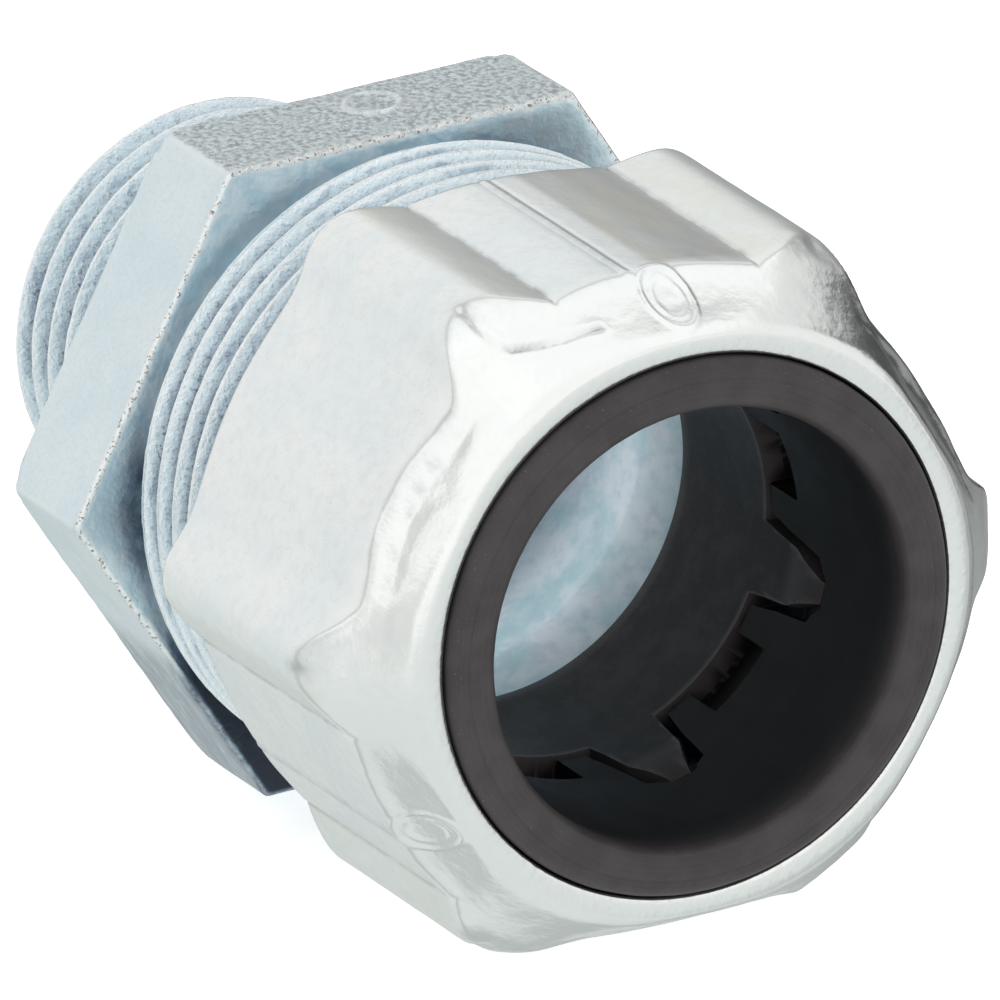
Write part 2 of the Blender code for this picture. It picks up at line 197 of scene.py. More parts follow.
class Skin:
    """A closed skin over shared angles, grown row by row along its profile."""

    def __init__(self, angles):
        self.angles = np.array(sorted(angles), float)
        self.angles = np.append(self.angles, self.angles[0] + 360.0)
        self.x, self.radii, self.masks = [], [], []

    def spread(self, value):
        return np.broadcast_to(np.asarray(value, float), self.angles.shape)

    def row(self, x, radius, mask=NO_MASK):
        """One ring; radius and the four mask values may be functions."""
        angle = self.angles % 360.0
        x = self.spread(x)
        radius = self.spread(radius(x, angle) if callable(radius) else radius)
        mask = mask(x, radius, angle) if callable(mask) else mask
        self.x.append(x)
        self.radii.append(radius)
        self.masks.append(np.stack([self.spread(channel) for channel in mask], -1))

    def rows(self, table):
        for entry in table:
            self.row(*entry)

    def helix(self, rear, front, start, pitch, fractions, radius, mask=NO_MASK):
        """Rows that follow a right-hand thread between two X planes."""
        origin = helix_x(self.angles[0], start, pitch)
        advance = (self.angles - self.angles[0]) / 360.0 * pitch
        first = math.floor((rear - origin) / pitch) - 1
        last = math.ceil((front - origin) / pitch) + 1
        for turn in range(first, last + 1):
            for fraction in fractions:
                x = origin + (turn + fraction) * pitch
                if x + pitch > rear and x < front:
                    self.row(np.clip(x + advance, rear, front), radius, mask)

    def append_reversed(self, other):
        self.x += other.x[::-1]
        self.radii += other.radii[::-1]
        self.masks += other.masks[::-1]

    def build(self, name, sharp=38.0):
        x, masks = np.array(self.x), np.array(self.masks)
        points = polar(x, np.array(self.radii), self.angles[None, :]).reshape(-1, 3)
        # rows that meet share their vertices
        key = np.round(points * 2.0e4).astype(np.int64)
        _, first, index = np.unique(key, axis=0, return_index=True, return_inverse=True)
        index = index.reshape(x.shape)
        after = np.roll(index, -1, axis=0)
        quads = np.stack([index[:, :-1], index[:, 1:], after[:, 1:], after[:, :-1]], -1)
        faces = []
        for quad in quads.reshape(-1, 4).tolist():
            face = [v for i, v in enumerate(quad) if v != quad[i - 1]]
            if len(face) >= 3 and len(set(face)) == len(face):
                faces.append(face)
        mesh = bpy.data.meshes.new(name)
        mesh.from_pydata((points[first] * MM).tolist(), [], faces)
        layer = mesh.attributes.new("mask", 'FLOAT_COLOR', 'POINT')
        values = masks.reshape(-1, 4)[first].astype(np.float32)
        layer.data.foreach_set("color", values.ravel())
        finish_mesh(mesh, sharp)
        return add_object(name, mesh)


def fan(centre, step, first, stop):
    """Evenly stepped angles, counted from first up to stop."""
    return {round((centre + i * step) % 360.0, 4) for i in range(first, stop)}


def spread_angles(step, centres, fine, reach):
    """Angles at a coarse step, with a fine step within reach of the centres."""
    count = int(round(reach / fine))
    out = set()
    for centre in centres:
        out |= fan(centre, fine, -count, count + 1)
    near = [centre % 360.0 for centre in centres]
    for i in range(int(round(360.0 / step))):
        angle = i * step
        if all(from_top(angle - centre) > reach + 0.45 * step for centre in near):
            out.add(round(angle, 4))
    return out


def thin(angles, least):
    """Drops angles that stand closer than least to the one before."""
    out = []
    for angle in sorted(angles):
        if not out or angle - out[-1] >= least:
            out.append(angle)
    return out


# ----------------------------------------------------------------------- body
# Mask channels: edge wear (also a painted highlight on thread crests), cast grain (negative in
# the bore), thread, painted shade.
BORE = (0, -1, 0, 0)
# full painted shade, for hollows deep inside
DARK = (0, 0, 0, 1)

# places of the rows within one pitch, from crest to crest
BOX_FRACTIONS = (-0.055, 0.055, 0.11, 0.2, 0.31, 0.43, 0.57, 0.69, 0.8, 0.89)
GLAND_FRACTIONS = (-0.075, 0.0, 0.075, 0.15, 0.24, 0.34, 0.43, 0.57, 0.66, 0.78, 0.86)

# X, inset from the hexagon's outline, corner radius
HEX_ROWS = [
    (0.06, 0.07, 17.95), (0.22, 0.0, 18.2), (0.5, 0.0, 18.5), (0.8, 0.0, HEX_CORNER),
    *((1.1 + i * 0.15, 0.0, HEX_CORNER) for i in range(24)),
    *((x, 0.0, HEX_CORNER) for x in (4.9, 5.3, 5.7, 6.05, 6.3, 6.5, 6.66)),
    (6.8, 0.015, HEX_CORNER), (6.91, 0.07, HEX_CORNER), (6.97, 0.16, HEX_CORNER)]


def box_crest(x):
    """The box thread's crests lie on a taper."""
    return 10.86 + (x + BOX_LEN) / 32.0


def box_radius(x, angle):
    t = crest_distance(x, angle, BOX_START, BOX_PITCH)
    cut = 1.28 * np.clip((t - 0.10) / 0.78, 0.0, 1.0) ** 0.95
    bead = 0.05 * bell(t - 0.10, width=0.08)
    radius = box_crest(x) - cut + bead
    radius = radius - 0.75 * smooth(-2.6, -1.3, x)
    radius = radius + 0.028 * noise3(polar(x, radius, angle), size=0.55, seed=5)
    lead = 10.32 + (x + BOX_LEN) * 1.5
    return soft_min(radius, np.maximum(lead, 10.3), 0.06)


# Worn bright crests, also a painted highlight; painted shade in the roots, strongest on the
# sides.
def box_mask(x, radius, angle):
    drop = box_crest(x) - radius
    sides = 0.30 + 0.44 * bell(from_top(angle) - 80.0, width=35.0)
    return smooth(0.20, 0.0, drop), 0, 1, smooth(0.12, 0.75, drop) * sides


def add_box_thread(skin):
    skin.row(-BOX_LEN, 10.05, (0.4, 0, 0, 0))
    skin.row(-BOX_LEN, 10.25, (0.7, 0, 0, 0))
    skin.helix(-BOX_LEN + 0.03, -1.25, BOX_START, BOX_PITCH, BOX_FRACTIONS,
               box_radius, box_mask)
    # the undercut by the hexagon, in painted shade
    skin.rows([(-1.2, 9.8, (0, 0, 0.6, 0.8)), (-0.45, 9.8, (0, 0, 0.4, 0.9)),
               (-0.12, 9.95, (0, 0, 0, 0.7)), (0.0, 10.35, (0, 0, 0, 0.5)),
               (0.0, 12.5)])


def hex_radius(angle, corner):
    flat = HEX_FLAT / np.cos(np.radians(wrap(angle, 60.0)))
    return soft_min(flat, corner, 0.05)


def pad_distance(x, radius, angle):
    """Distance from the pad's middle, 1 at its rim."""
    y = -radius * np.sin(np.radians(angle))
    return np.hypot(x - PAD_X, (y - PAD_Y)) / PAD_R


def hexagon(inset, corner):
    """Radius of the hexagon, with ragged ends, slow waves and the pad."""
    def outline(x, angle):
        radius = hex_radius(angle, corner) - inset
        point = polar(x, radius, angle)
        ragged = noise3(point, size=0.7, seed=9) + 0.6 * noise3(point, size=0.3, seed=10)
        ends = bell(HEX_LEN - x, width=0.5) + 0.7 * bell(x, width=0.5)
        waves = noise3(point, size=3.2, seed=11)
        radius = radius + 0.030 * ragged * ends + 0.035 * waves
        rho = pad_distance(x, radius, angle)
        pad = 0.17 * bell(rho - 1.0, width=0.11) + 0.05 * smooth(1.0, 0.85, rho)
        return radius + pad * smooth(24.0, 22.0, from_top(angle))
    return outline


def hex_mask(x, radius, angle):
    off_top = from_top(angle)
    top = smooth(30.2, 29.4, off_top)
    edge = np.maximum(smooth(0.38, 0.05, HEX_LEN - x), 0.6 * smooth(0.4, 0.0, x))
    off_flat = np.abs(wrap(angle, 60.0))
    edge = np.maximum(edge, 0.45 * smooth(0.9, 0.1, np.abs(30.0 - off_flat)))
    edge = edge * (1.0 - 0.8 * smooth(116.0, 124.0, off_top))
    ring = bell(pad_distance(x, radius, angle) - 1.0, width=0.16) * top
    # painted shade low down, strongest by the front edge
    low = (0.60 + 0.35 * smooth(1.2, 0.1, HEX_LEN - x)) \
        * smooth(115.0, 127.0, off_top) * smooth(168.0, 150.0, off_top)
    return np.maximum(edge, 0.55 * ring), top * (1 - 0.5 * ring), 0, low


def brim_mask(x, radius, angle):
    """Worn round the front edge, with painted shade low down."""
    low = smooth(110.0, 122.0, from_top(angle))
    return 0.5 * (1.0 - low), 0, 0, 1.3 * low


def face_shade(level, thread=0.0):
    """Painted shade, darker towards the thread's root and down the front face."""
    def mask(x, radius, angle):
        off_top, signed = from_top(angle), wrap(angle, 360.0)
        side = 0.24 + 0.76 * smooth(40.0, 84.0, off_top)
        # a painted shade patch just past the top, on the +Y side
        patch = smooth(-6.0, -17.0, signed) * smooth(-44.0, -34.0, signed) \
            * min(1.0, level * 8.0)
        # painted shade low down, near black at the bottom
        low = smooth(100.0, 134.0, off_top)
        if thread == 0:
            wide = smooth(0.4, 2.0, hex_radius(angle, HEX_CORNER) - 15.6)
        else:
            wide = 0.75
        shade_mask = np.clip(level * side * wide + low + 0.46 * patch, 0.0, 1.0)
        return 0, 0, thread, shade_mask + 0.6 * smooth(105.0, 121.0, off_top)
    return mask


def add_hexagon(skin):
    # rear chamfer: inset, greatest radius, mask
    for inset, limit, mask in ((0.30, 17.5, NO_MASK), (0.22, 17.6, hex_mask)):
        skin.row(0.0, lambda x, angle: np.minimum(hex_radius(angle, 17.75) - inset, limit),
                 mask)
    skin.rows((x, hexagon(inset, corner), hex_mask) for x, inset, corner in HEX_ROWS)
    skin.row(HEX_LEN, lambda x, angle: hex_radius(angle, HEX_CORNER) - 0.32, brim_mask)
    # front face: share of the way from the outline to the inner circle, painted shade level
    for share, level in ((0.0, 0.0), (0.22, 0.12), (0.5, 0.38), (0.75, 0.68), (1.0, 0.95)):
        skin.row(HEX_LEN,
                 lambda x, angle: (hex_radius(angle, HEX_CORNER) - 0.5) * (1 - share)
                 + 15.5 * share, face_shade(level))
    # fillet to the gland thread, in full painted shade: X past the face, radius, thread mask
    for ahead, radius, thread in ((0.02, 14.9, 0.0), (0.12, 14.68, 0.4), (0.35, 14.66, 0.6)):
        skin.row(HEX_LEN + ahead, radius, face_shade(1.0, thread))


def gland_radius(x, angle):
    t = crest_distance(x, angle, GLAND_START, GLAND_PITCH)
    fade = smooth(7.5, 8.1, x) * smooth(BODY_END - 0.15, BODY_END - 1.1, x)
    height = 1.0 - np.clip((t - 0.15) / 0.70, 0.0, 1.0)
    radius = 14.72 + 0.98 * height * fade + 0.03 * bell(t - 0.14, width=0.07) * fade
    grit = noise3(polar(x, radius, angle), size=0.42, seed=6)
    return radius + 0.022 * grit * smooth(0, 0.3, height * fade)


# Worn bright crests, also a painted highlight; painted shade in the roots, strongest on the
# sides.
def gland_mask(x, radius, angle):
    sides = 0.45 + 0.55 * bell(from_top(angle) - 78.0, width=32.0)
    return smooth(15.55, 15.69, radius), 0, 1, smooth(15.58, 15.0, radius) * sides


def add_gland_thread(skin):
    skin.helix(HEX_LEN + 0.5, BODY_END - 0.4, GLAND_START, GLAND_PITCH,
               GLAND_FRACTIONS, gland_radius, gland_mask)
    # the end, worn, with painted shade going into the bore
    skin.rows([(BODY_END - 0.3, 14.66, (0.2, 0, 0.6, 0)),
               (BODY_END - 0.05, 14.42, (0.6, 0, 0, 0)),
               (BODY_END, 14.3, (0.5, 0, 0, 0)),
               (BODY_END, 13.6, (0.5, 0, 0, 0.3)),
               (BODY_END - 0.25, 13.35, (0.2, 0, 0, 0.6))])


def bore_radius(x, angle):
    return 10.9 + 0.03 * noise3(polar(x, 10.9, angle), size=2.2, seed=12)


def add_bore(skin):
    """Front mouth, taper, wide bore, step and narrow bore, front to rear."""
    # the mouth under the nut, in full painted shade
    skin.rows((x, 13.35, DARK) for x in (23.0, 20.0, 17.5, 15.2, 14.75))
    skin.rows([(14.15, 12.95, BORE), (13.0, 12.45, BORE), (11.5, 11.79, BORE),
               (10.4, 11.31, BORE), (9.45, 10.9, BORE)])
    skin.rows((9.1 - i * 0.85, bore_radius, BORE) for i in range(9))
    skin.rows([(2.05, 10.88, BORE), (2.0, 10.7, BORE), (2.0, 8.5, BORE),
               (1.9, 8.2, BORE), (1.6, 7.98, BORE)])
    # the narrow throat and the rear end, in light painted shade
    skin.rows((x, 7.9, (0, 0, 0, 0.25)) for x in (1.2, -2.0, -6.0, -10.0, -14.2))
    skin.rows([(-BOX_LEN + 0.45, 7.98, (0.2, 0, 0, 0.2)),
               (-BOX_LEN + 0.12, 8.3, (0.7, 0, 0, 0)),
               (-BOX_LEN, 8.55, (0.6, 0, 0, 0))])


def make_body():
    corners = [30.0 + 60.0 * k for k in range(6)]
    pad_angles = fan(0.0, 0.32, -22, 27)
    skin = Skin(spread_angles(1.5, corners, fine=0.35, reach=1.4) | pad_angles)
    add_box_thread(skin)
    add_hexagon(skin)
    add_gland_thread(skin)
    add_bore(skin)
    return skin.build("body_cast")


# ------------------------------------------------------------------ gland nut
# Mask channels: edge wear, nose, painted shade in creases, flank (negative where a darker
# reflection is painted).
SECTION_UNIT = 13.4
SECTION = [  # degrees from the middle of a ridged side, radius over SECTION_UNIT
    (-60.0, 1.272), (-54.0, 1.273), (-47.0, 1.277), (-41.0, 1.294),
    (-38.2, 1.318), (-36.0, 1.353), (-34.0, 1.384), (-31.6, 1.402),
    (-30.0, 1.404), (-28.2, 1.399), (-26.0, 1.374), (-19.0, 1.2735),
    (-12.0, 1.256), (-5.0, 1.2495), (0.0, 1.2505), (3.5, 1.2540),
    (8.0, 1.2605), (13.0, 1.2690), (17.7, 1.2780),
    (25.3, 1.379), (27.4, 1.400), (30.0, 1.404), (31.6, 1.402), (34.0, 1.384),
    (36.0, 1.353), (38.2, 1.318), (41.0, 1.294), (47.0, 1.277), (54.0, 1.273),
    (60.0, 1.272)]
FEET = (-19.0, 17.7)                          # where the lobes' flanks end
RIDGE = 3.6

# the nose's radius over its sides and corners: distance behind the mouth, radius
nose_side = monotone_cubic([
    (-0.2, 14.70), (0, 14.78), (0.35, 14.90), (0.8, 15.03), (1.6, 15.28),
    (2.7, 15.74), (3.5, 16.18), (4.0, 16.50), (4.6, 16.84), (5.4, 17.20),
    (6.7, 17.68), (8.0, 18.15), (9.5, 18.7)])
nose_corner = monotone_cubic([
    (-0.2, 14.55), (0, 14.66), (0.35, 15.06), (0.8, 15.42), (1.6, 16.02),
    (2.7, 16.86), (4.0, 17.84), (5.4, 18.60), (6.0, 18.82), (6.7, 19.02),
    (8.0, 19.35), (9.5, 19.7)])

NUT_PADS = ((-2.3, 32.55), (120.6, 32.6))     # oval marks: degrees, X
# a casting fold that starts in the pit at one lobe's end: degrees, X
FOLD = ((28.6, 29.6), (29.1, 30.9), (28.7, 31.7), (27.4, 32.35), (23.7, 32.85),
        (19.7, 33.15), (12.4, 33.2))


def make_section():
    """Angles and radii of one period, softened except at the feet and ridge."""
    step = 0.05
    angle = np.arange(-60.0, 60.0, step)
    points = np.array(SECTION)
    raw = np.interp(angle, points[:, 0], points[:, 1]) * SECTION_UNIT

    def blur(values, sigma):
        count = len(values)
        away = np.minimum(np.arange(count), count - np.arange(count)) * step
        kernel = np.exp(-0.5 * (away / sigma) ** 2)
        kernel /= kernel.sum()
        return np.real(np.fft.ifft(np.fft.fft(values) * np.fft.fft(kernel)))

    keep = np.zeros_like(angle)
    for place in FEET + (RIDGE,):
        keep = np.maximum(keep, np.exp(-((angle - place) / 2.2) ** 4))
    radius = blur(raw, 1.25) * (1 - keep) + blur(raw, 0.22) * keep
    # the ridge, with a groove on either side
    radius = radius + 0.040 * bell(angle - RIDGE, width=0.42) \
        - 0.022 * bell(angle - RIDGE + 1.0, width=0.35) \
        - 0.022 * bell(angle - RIDGE - 1.0, width=0.35)
    for foot, side in ((FEET[0], 1), (FEET[1], -1)):
        radius = radius - 0.05 * bell(angle - foot, width=0.4)
        radius = radius + 0.02 * bell(angle - foot - side * 1.1, width=0.4)
    return np.append(angle, 60.0), np.append(radius, radius[0])


SECTION_ANGLES, SECTION_RADII = make_section()


def section(angle):
    return np.interp(wrap(angle - RIDGED0, 120.0), SECTION_ANGLES, SECTION_RADII)


def fold_distance(x, angle):
    """Millimetres from the fold's line, over the unrolled nut."""
    def arc(degrees):
        return degrees * math.pi / 180.0 * 16.4

    across = arc(wrap(angle, 360.0))
    best = np.full(np.shape(across), 99.0)
    for (angle0, x0), (angle1, x1) in zip(FOLD, FOLD[1:]):
        arc0 = arc(angle0)
        width, length = arc(angle1) - arc0, x1 - x0
        t = np.clip(((across - arc0) * width + (x - x0) * length)
                    / (width * width + length * length), 0.0, 1.0)
        best = np.minimum(best, np.hypot(across - arc0 - t * width, x - x0 - t * length))
    return best


def nut_pad(x, angle):
    """Height of the oval marks: a rim, an inner ring and a raised floor."""
    height = 0.0
    for pad_angle, pad_x in NUT_PADS:
        off = wrap(angle - pad_angle, 360.0)
        rho = np.hypot((x - pad_x) / 1.95, off / 4.3)
        height = height + 0.11 * bell(rho - 1.0, width=0.09) \
            + 0.06 * bell(rho - 0.62, width=0.10) + 0.03 * smooth(1.05, 0.9, rho)
    return height


def nut_forms(x, angle):
    """Distance behind the mouth, angle off the ridged side, where the sides are
    plain, and the radii of the lobed section and of the nose that cuts it."""
    behind = NUT_FRONT - x
    flat = nose_side(behind) / np.cos(np.radians(wrap(angle - RIDGED0, 60.0)))
    blend = 0.55 - 0.45 * smooth(1.5, 4.5, behind)
    nose = soft_min(flat, nose_corner(behind), blend)
    off = wrap(angle - RIDGED0, 120.0)
    plain = smooth(35.0, 43.0, np.abs(off))
    lobed = section(angle) - 0.008 * np.clip(x - NUT_REAR, 0.0, 13.0) \
        - 0.62 * plain * smooth(25.0, 32.6, x)
    return behind, off, plain, lobed, nose


def nut_outer(x, angle):
    behind, off, plain, lobed, nose = nut_forms(x, angle)
    radius = soft_min(lobed, nose, 0.07 + 0.06 * smooth(6, 2, behind))
    point = polar(x, nose, angle)
    slow = noise3(point, size=2.0, seed=24)
    mid = noise3(point, size=0.9, seed=25)
    # metal rolled up along the crease between section and nose
    past = lobed - nose
    roll = 0.060 * (0.7 + 0.7 * slow) * bell(past - 0.18, width=0.16)
    trough = 0.075 * (0.7 + 0.8 * mid) * bell(past - 0.62, width=0.28)
    near = smooth(7.6, 6.4, behind)
    radius = radius + near * (0.35 + 0.65 * plain) * (roll - trough)
    # a low second wave nearer the mouth
    wave = behind - 1.75 - 0.35 * slow - 0.3 * np.cos(np.radians(3.0 * off))
    radius = radius + (0.040 * bell(wave, width=0.42) - 0.04 * bell(wave - 0.85, width=0.45)) \
        * (0.08 + 0.95 * plain) * (0.7 + 0.6 * slow)
    # the shallow pit where the lobe's top meets the nose
    off_lobe = wrap(angle - LOBE0, 60.0)
    radius = radius - 0.17 * bell(off_lobe, width=1.1) * bell(behind - 5.35, width=0.7)
    fold = fold_distance(x, angle)
    radius = radius - 0.13 * (0.8 + 0.6 * mid) * bell(fold, width=0.10) \
        + 0.03 * bell(fold - 0.34, width=0.18)
    radius = radius + nut_pad(x, angle)
    # cast unevenness, strongest on the nose
    return radius + 0.045 * noise3(point, size=3.4, seed=21) * smooth(7.5, 4.0, behind) \
        + 0.016 * noise3(point, size=1.1, seed=22) \
        + 0.008 * noise3(point, size=0.45, seed=23) * smooth(7.0, 5.0, behind)


def nut_mask(x, radius, angle):
    behind, off, plain, lobed, nose = nut_forms(x, angle)
    groove = 0.7 * bell(off - RIDGE, width=0.9)
    for foot in FEET:
        groove = np.maximum(groove, bell(off - foot, width=0.55))
    groove = groove * smooth(4.0, 5.0, behind)
    # pits at the lobes' ends, and the fold
    off_lobe = wrap(angle - LOBE0, 60.0)
    scar = 0.8 * bell(off_lobe, width=1.3) * bell(behind - 5.4, width=0.7)
    point = polar(x, radius, angle)
    part = 0.55 + 0.75 * noise3(point, size=0.8, seed=27)
    fold = bell(fold_distance(x, angle), width=0.12)
    scar = np.maximum(scar, 1.6 * np.clip(part, 0.1, 1.0) * fold)
    slope = np.abs(section(angle + 0.6) - section(angle - 0.6)) \
        / (1.2 * math.pi / 180.0 * 17.0)
    flank = smooth(0.25, 0.6, slope) * smooth(3.6, 4.8, behind) \
        * smooth(31.0, 27.0, np.abs(off))
    rag = 0.55 + 0.6 * noise3(point, size=1.3, seed=28)
    crease = (0.20 + 0.45 * plain) * rag * bell(lobed - nose - 0.03, width=0.15) \
        * smooth(8.0, 6.5, behind)
    crease = crease + 0.35 * plain * rag * bell(behind - 1.2 - 0.5 * rag, width=0.28)
    # painted shade in the grooves, pits, fold and creases
    dark = np.maximum(np.maximum(groove, scar), np.clip(crease, 0.0, 1.0))
    # a painted darker reflection on one half of the side under the upper mark
    signed = wrap(angle, 360.0)
    dim_reflection = smooth(-2.6, -4.4, signed) * smooth(-20.5, -18.5, signed) \
        * smooth(3.8, 5.2, behind)
    return (smooth(0.45, 0.05, x - NUT_REAR), smooth(5.2, 3.2, behind), dark,
            np.where(dim_reflection > 0.02, -dim_reflection, flank))


def shaved(depth):
    return lambda x, angle: nut_outer(x, angle) - depth


def nut_lip(share):
    """Radius on the front lip, 0 at the hole to 1 at the outside."""
    hole = 13.62

    def radius(x, angle):
        outside = nut_outer(np.full_like(angle, NUT_FRONT - 0.12), angle) - 0.06
        return hole + (outside - hole) * share
    return radius


def nut_thread(x, angle):
    t = crest_distance(x, angle, GLAND_START, GLAND_PITCH, shift=0.0)
    fade = smooth(27.0, 26.0, x) * smooth(16.9, 17.8, x)
    return 16.05 - 0.88 * np.clip(1.0 - (t - 0.12) / 0.5, 0.0, 1.0) * fade


def nut_angles():
    centres = [RIDGED0 + 120.0 * k + place for k in range(3) for place in FEET + (RIDGE,)]
    angles = spread_angles(0.7, centres, fine=0.24, reach=1.2)
    for pad_angle, _ in NUT_PADS:
        angles |= fan(pad_angle, 0.3, -18, 19)
    angles |= fan(11.0, 0.3, 0, 64)           # over the fold
    return thin(angles, 0.12)


def make_nut():
    angles = nut_angles()
    skin = Skin(angles)
    skin.row(NUT_REAR, 16.45, (0.5, 0, 0, 0))
    skin.row(NUT_REAR, lambda x, angle: section(angle) - 0.30, (1, 0, 0, 0))
    # rounded rear edge: X past the rear face, depth shaved off
    for ahead, depth in ((0.06, 0.13), (0.20, 0.03), (0.45, 0.0)):
        skin.row(NUT_REAR + ahead, shaved(depth), nut_mask)
    for x in np.linspace(NUT_REAR + 1.0, 28.0, 13):
        skin.row(x, nut_outer, nut_mask)
    x = 28.35
    while x < NUT_FRONT - 0.5:
        skin.row(x, nut_outer, nut_mask)
        x += 0.17 if x < 29.5 or x > 33.4 else 0.13
    for behind in (0.42, 0.30, 0.20, 0.12):
        skin.row(NUT_FRONT - behind, shaved(0.10 * math.exp(-behind / 0.16)), nut_mask)
    # front lip: distance behind the mouth, share of the way outwards
    for behind, share in ((0.05, 0.93), (0.015, 0.80), (0.0, 0.6), (0.0, 0.35),
                          (0.01, 0.15)):
        skin.row(NUT_FRONT - behind, nut_lip(share), (0, 1, 0, 0))
    skin.rows([(NUT_FRONT - 0.03, 13.56, (0.45, 1, 0, 0)),
               (NUT_FRONT - 0.12, 13.47, (0.45, 1, 0, 0)),
               (NUT_FRONT - 0.35, 13.45), (33.0, 13.45), (31.0, 13.45),
               (31.0, 16.0), (30.8, 16.05), (27.4, 16.05)])
    # the skin runs rearwards here, so the thread's rows are turned round
    thread = Skin(angles)
    thread.helix(16.8, 27.1, GLAND_START, GLAND_PITCH,
                 (0.14, 0.25, 0.44, 0.56, 0.75, 0.86), nut_thread)
    skin.append_reversed(thread)
    skin.rows([(16.6, 16.05), (NUT_REAR + 0.15, 16.15)])
    return skin.build("nut_shell", 44.0)


# ----------------------------------------------------------- cutters and rings
def sector(middle, outline, inner, outer, steps):
    """A cutter: (half angle, x) stations swept from the inner to the outer radius."""
    edit = bmesh.new()
    grids = []
    for radius in (inner, outer):
        rows = []
        for half, x in outline:
            left, right = middle - half, middle + half
            rows.append([edit.verts.new(polar(x, radius, left + (right - left) * i / steps) * MM)
                         for i in range(steps + 1)])
        grids.append(rows)
    low, high = grids
    last = len(outline) - 1
    face = edit.faces.new
    for k in range(last):
        for i in range(steps):
            face((low[k][i], low[k][i + 1], low[k + 1][i + 1], low[k + 1][i]))
            face((high[k][i], high[k + 1][i], high[k + 1][i + 1], high[k][i + 1]))
        face((low[k][0], low[k + 1][0], high[k + 1][0], high[k][0]))
        face((low[k][steps], high[k][steps], high[k + 1][steps], low[k + 1][steps]))
    for i in range(steps):
        face((low[0][i], high[0][i], high[0][i + 1], low[0][i + 1]))
        face((low[last][i], low[last][i + 1], high[last][i + 1], high[last][i]))
    bmesh.ops.recalc_face_normals(edit, faces=edit.faces[:])
    mesh = bpy.data.meshes.new("cutter")
    edit.to_mesh(mesh)
    edit.free()
    return add_object("cutter", mesh)


def subtract(obj, cutters):
    """Takes the cutters, which don't touch one another, out of obj."""
    bpy.ops.object.select_all(action='DESELECT')
    for cutter in cutters:
        cutter.select_set(True)
    bpy.context.view_layer.objects.active = cutters[0]
    if len(cutters) > 1:
        bpy.ops.object.join()
    tool = bpy.context.view_layer.objects.active
    cut = obj.modifiers.new("cut", 'BOOLEAN')
    cut.operation = 'DIFFERENCE'
    cut.solver = 'EXACT'
    cut.object = tool
    depsgraph = bpy.context.evaluated_depsgraph_get()
    mesh = bpy.data.meshes.new_from_object(obj.evaluated_get(depsgraph))
    obj.modifiers.clear()
    old = obj.data
    obj.data = mesh
    bpy.data.meshes.remove(old)
    bpy.data.objects.remove(tool)


RING_ANGLES = [i * 1.5 for i in range(240)]
RING_SHARP = 35.0
RING_MERGE = 2e-6                             # metres

SEAL_OUTSIDE = [  # X, radius, rear to front
    (22.3, 10.92), (22.3, 12.82), (22.38, 12.9), (24.0, 12.9), (26.0, 12.9),
    (28.0, 12.9), (28.1, 13.0), (28.1, 15.3), (28.18, 15.5), (28.4, 15.6),
    (30.4, 15.6), (30.62, 15.5), (30.7, 15.3), (30.7, 13.3), (30.8, 13.25),
    (33.0, 13.3)]
SEAL_FACE = [  # radius, distance behind the front, edge wear
    (12.48, 0.10, 0.05), (12.42, 0.12, 0.05), (12.36, 0.085, 0.7), (12.2, 0.05, 0.05),
    (12.0, 0.02, 0.05), (11.8, 0.0, 0.05), (11.6, 0.005, 0.05), (11.45, 0.03, 0.05),
    (11.3, 0.08, 0.05), (11.16, 0.17, 0.05), (11.04, 0.30, 0.3), (10.95, 0.47, 0.3),
    (10.90, 0.68, 0.3)]
SEAL_BORE = 10.86
# the throat's mask is painted shade, darker further in
SEAL_THROAT = [  # distance behind the front, depth mask
    (0.95, 0.45), (1.3, 0.7), (1.8, 0.9), (2.6, 1.0), (3.8, 1.0)]
GRIP_RADIUS = 12.45
GRIP_OUTSIDE = [  # X, radius, rear to front
    (13.3, 10.95), (13.3, 11.4), (13.42, 11.52), (14.5, 11.95), (15.6, 12.4),
    (15.8, GRIP_RADIUS), (18.0, GRIP_RADIUS), (21.9, GRIP_RADIUS), (22.0, 12.4),
    (22.0, 11.85), (22.1, 11.75), (24.0, 11.75), (26.0, 11.75), (27.3, 11.75),
    (27.7, 11.55), (27.7, 11.02), (27.5, 10.9), (26.0, 10.76)]


def make_seal():
    skin = Skin(RING_ANGLES)
    skin.rows(SEAL_OUTSIDE)

    def lip(x, base, wear):
        def radius(x, angle):
            return base + 0.010 * noise3(polar(x, base, angle), size=0.5, seed=31)
        skin.row(x, radius, (wear, 0, 0, 0))

    # rounded outer lip, a flat with a faint step, then the inner edge
    for turn in np.linspace(0, 90, 10):
        cos, sin = math.cos(math.radians(turn)), math.sin(math.radians(turn))
        lip(SEAL_FRONT - 0.95 + 0.83 * sin, 12.56 + 0.8 * cos, 0.3 + 0.5 * (20 < turn < 60))
    for radius, behind, wear in SEAL_FACE:
        lip(SEAL_FRONT - behind, radius, wear)
    for behind, shade_mask in SEAL_THROAT:
        skin.row(SEAL_FRONT - behind, SEAL_BORE, (0, 0, 0, shade_mask))
    # the bore, in full painted shade
    for x in (30.5, 29.0, 27.6, 26.0, 24.4, 23.2, 22.36):
        skin.row(x, SEAL_BORE, DARK)
    obj = skin.build("seal_elastomer")

    # six pockets from the rear, and six shallow notches between them
    middles = [TAB0 + 60.0 * k for k in range(6)]
    pocket = [(13.2, 21.0), (12.0, 22.9), (8.6, 27.2), (3.2, 28.05)]
    notch = [(10.0, 21.0), (10.0, 25.0)]
    pockets = [sector(middle, pocket, 9.0, 14.2, steps=6) for middle in middles]
    notches = [sector(middle + 30.0, notch, 9.3, 11.95, steps=6) for middle in middles]
    subtract(obj, pockets)
    subtract(obj, notches)
    finish_mesh(obj.data, RING_SHARP, RING_MERGE)
    return obj


